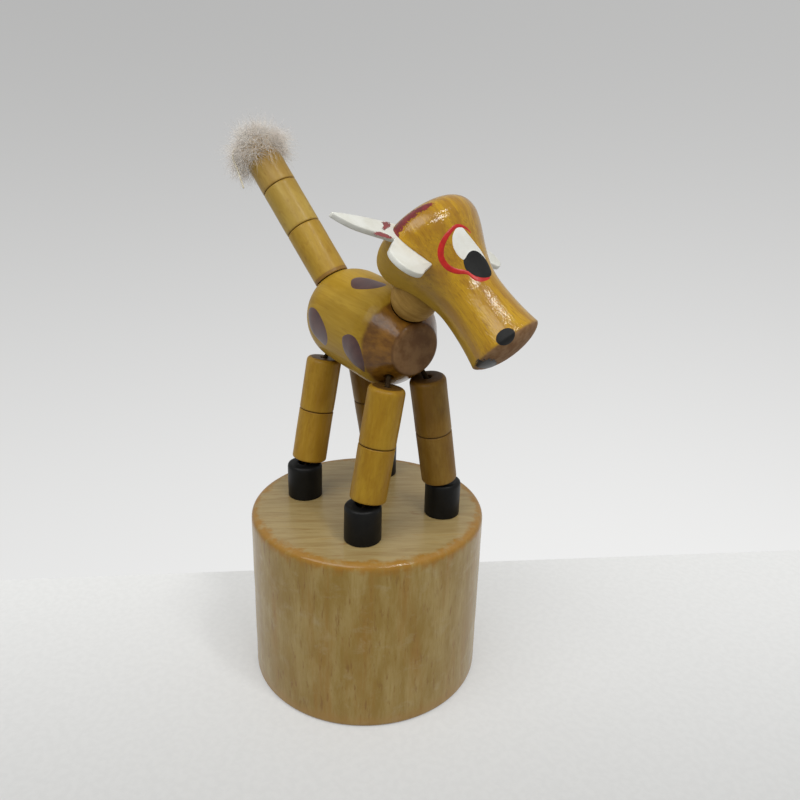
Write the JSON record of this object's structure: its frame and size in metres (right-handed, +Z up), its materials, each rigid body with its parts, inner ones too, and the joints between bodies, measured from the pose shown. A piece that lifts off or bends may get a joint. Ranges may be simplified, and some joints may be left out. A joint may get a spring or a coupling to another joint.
{
  "type": "push puppet",
  "caption": "Wooden push puppet: a spotted horned animal of strung beads stands on a drum base and folds when the sprung button underneath is pressed.",
  "frame": {"origin": "Centre of the base's flat foot ring, which the toy stands on.", "axes": "+Z up, +X the way the animal faces, +Y the animal's left."},
  "size_m": [0.0586, 0.0401, 0.0937],
  "materials": {
    "beech": "clear varnish over beech",
    "varnished_wood": "golden varnish",
    "bare_wood": "thin clear varnish",
    "black_paint": "satin black paint",
    "white_sheet": "matte white",
    "thread": "waxed cotton",
    "fur": "soft fur",
    "spring_wire": "drawn wire"
  },
  "bodies": {
    "base": {"base_drum": "beech", "return_spring": "spring_wire", "front_right_hoof": "black_paint", "front_left_hoof": "black_paint", "rear_right_hoof": "black_paint", "rear_left_hoof": "black_paint"},
    "button": {"push_button": "beech"},
    "front_right_shin": {"front_right_lower_leg": "varnished_wood"},
    "front_right_thigh": {"front_right_upper_leg": "varnished_wood"},
    "front_left_shin": {"front_left_lower_leg": "varnished_wood"},
    "front_left_thigh": {"front_left_upper_leg": "varnished_wood"},
    "rear_right_shin": {"rear_right_lower_leg": "varnished_wood"},
    "rear_right_thigh": {"rear_right_upper_leg": "varnished_wood"},
    "rear_left_shin": {"rear_left_lower_leg": "varnished_wood"},
    "rear_left_thigh": {"rear_left_upper_leg": "varnished_wood"},
    "body": {"barrel_body": "varnished_wood", "front_thread": "thread", "rear_thread": "thread"},
    "neck": {"neck_ball": "bare_wood"},
    "skull": {"head": "varnished_wood", "head_plug": "bare_wood", "horns_and_ears": "white_sheet"},
    "tail_root": {"tail_root_bead": "varnished_wood"},
    "tail_middle": {"tail_middle_bead": "varnished_wood"},
    "tail_tip": {"tail_tip_bead": "varnished_wood", "tail_knot": "thread", "tail_tuft": "fur"}
  },
  "joints": [
    {"name": "front_right_ankle", "type": "hinge", "parent": "base", "child": "front_right_shin", "pos_m": [0.01225, -0.0063, 0.0368], "axis": [0, 1, 0], "range_deg": [0, 35], "stiffness_Nm_per_rad": 0.004, "springref_deg": -28.65, "deforming": ["front_thread", "rear_thread"]},
    {"name": "front_right_knee", "type": "hinge", "parent": "front_right_shin", "child": "front_right_thigh", "pos_m": [0.01225, -0.00467, 0.04631], "axis": [0, 1, 0], "range_deg": [0, 25.05]},
    {"name": "front_right_hip", "type": "hinge", "parent": "front_right_thigh", "child": "body", "pos_m": [0.00635, -0.00304, 0.0552], "axis": [0, 1, 0], "range_deg": [-60.05, 0]},
    {"name": "front_left_ankle", "type": "hinge", "parent": "base", "child": "front_left_shin", "pos_m": [0.01225, 0.0081, 0.0368], "axis": [0, 1, 0], "range_deg": [0, 35.05]},
    {"name": "front_left_hip", "type": "hinge", "parent": "body", "child": "front_left_thigh", "pos_m": [0.00635, 0.00484, 0.0552], "axis": [0, 1, 0], "range_deg": [0, 60.05]},
    {"name": "rear_right_ankle", "type": "hinge", "parent": "base", "child": "rear_right_shin", "pos_m": [-0.00635, -0.0063, 0.0368], "axis": [0, 1, 0], "range_deg": [0, 35.05]},
    {"name": "rear_right_hip", "type": "hinge", "parent": "body", "child": "rear_right_thigh", "pos_m": [-0.01225, -0.00304, 0.0552], "axis": [0, 1, 0], "range_deg": [0, 60.05]},
    {"name": "rear_left_ankle", "type": "hinge", "parent": "base", "child": "rear_left_shin", "pos_m": [-0.00635, 0.0081, 0.0368], "axis": [0, 1, 0], "range_deg": [0, 35.05]},
    {"name": "rear_left_hip", "type": "hinge", "parent": "body", "child": "rear_left_thigh", "pos_m": [-0.01225, 0.00484, 0.0552], "axis": [0, 1, 0], "range_deg": [0, 60.05]},
    {"name": "head_turn", "type": "hinge", "parent": "body", "child": "neck", "pos_m": [0.01039, 0.0009, 0.06909], "axis": [0.6508, 0, 0.7593], "range_deg": [-45, 25]},
    {"name": "head_nod", "type": "hinge", "parent": "neck", "child": "skull", "pos_m": [0.01039, 0.0009, 0.06909], "axis": [-0.4245, 0.899, -0.1079], "range_deg": [0, 35.05]},
    {"name": "tail_droop", "type": "hinge", "parent": "body", "child": "tail_root", "pos_m": [-0.01297, -0.00164, 0.06711], "axis": [0.342, -0.9397, 0], "range_deg": [0, 25.05]},
    {"name": "tail_bend", "type": "hinge", "parent": "tail_root", "child": "tail_middle", "pos_m": [-0.01837, -0.00361, 0.07421], "axis": [0.342, -0.9397, 0], "range_deg": [0, 18.05]},
    {"name": "tail_curl", "type": "hinge", "parent": "tail_middle", "child": "tail_tip", "pos_m": [-0.0232, -0.00536, 0.08055], "axis": [0.342, -0.9397, 0], "range_deg": [0, 18.05]},
    {"name": "button_press", "type": "slide", "parent": "base", "child": "button", "axis": [0, 0, 1], "range_m": [0, 0.00901], "deforming": ["return_spring"]}
  ],
  "couplings": [
    {"joint": "front_right_knee", "follows": "front_right_ankle", "ratio": 0.71429},
    {"joint": "front_right_hip", "follows": "front_right_ankle", "ratio": -1.7143},
    {"joint": "front_left_ankle", "follows": "front_right_ankle", "ratio": 1},
    {"joint": "front_left_hip", "follows": "front_right_ankle", "ratio": 1.7143},
    {"joint": "rear_right_ankle", "follows": "front_right_ankle", "ratio": 1},
    {"joint": "rear_right_hip", "follows": "front_right_ankle", "ratio": 1.7143},
    {"joint": "rear_left_ankle", "follows": "front_right_ankle", "ratio": 1},
    {"joint": "rear_left_hip", "follows": "front_right_ankle", "ratio": 1.7143},
    {"joint": "head_nod", "follows": "front_right_ankle", "ratio": 1},
    {"joint": "tail_droop", "follows": "front_right_ankle", "ratio": 0.71429},
    {"joint": "tail_bend", "follows": "front_right_ankle", "ratio": 0.51429},
    {"joint": "tail_curl", "follows": "front_right_ankle", "ratio": 0.51429},
    {"joint": "button_press", "follows": "front_right_ankle", "m_per_rad": 0.014733}
  ]
}
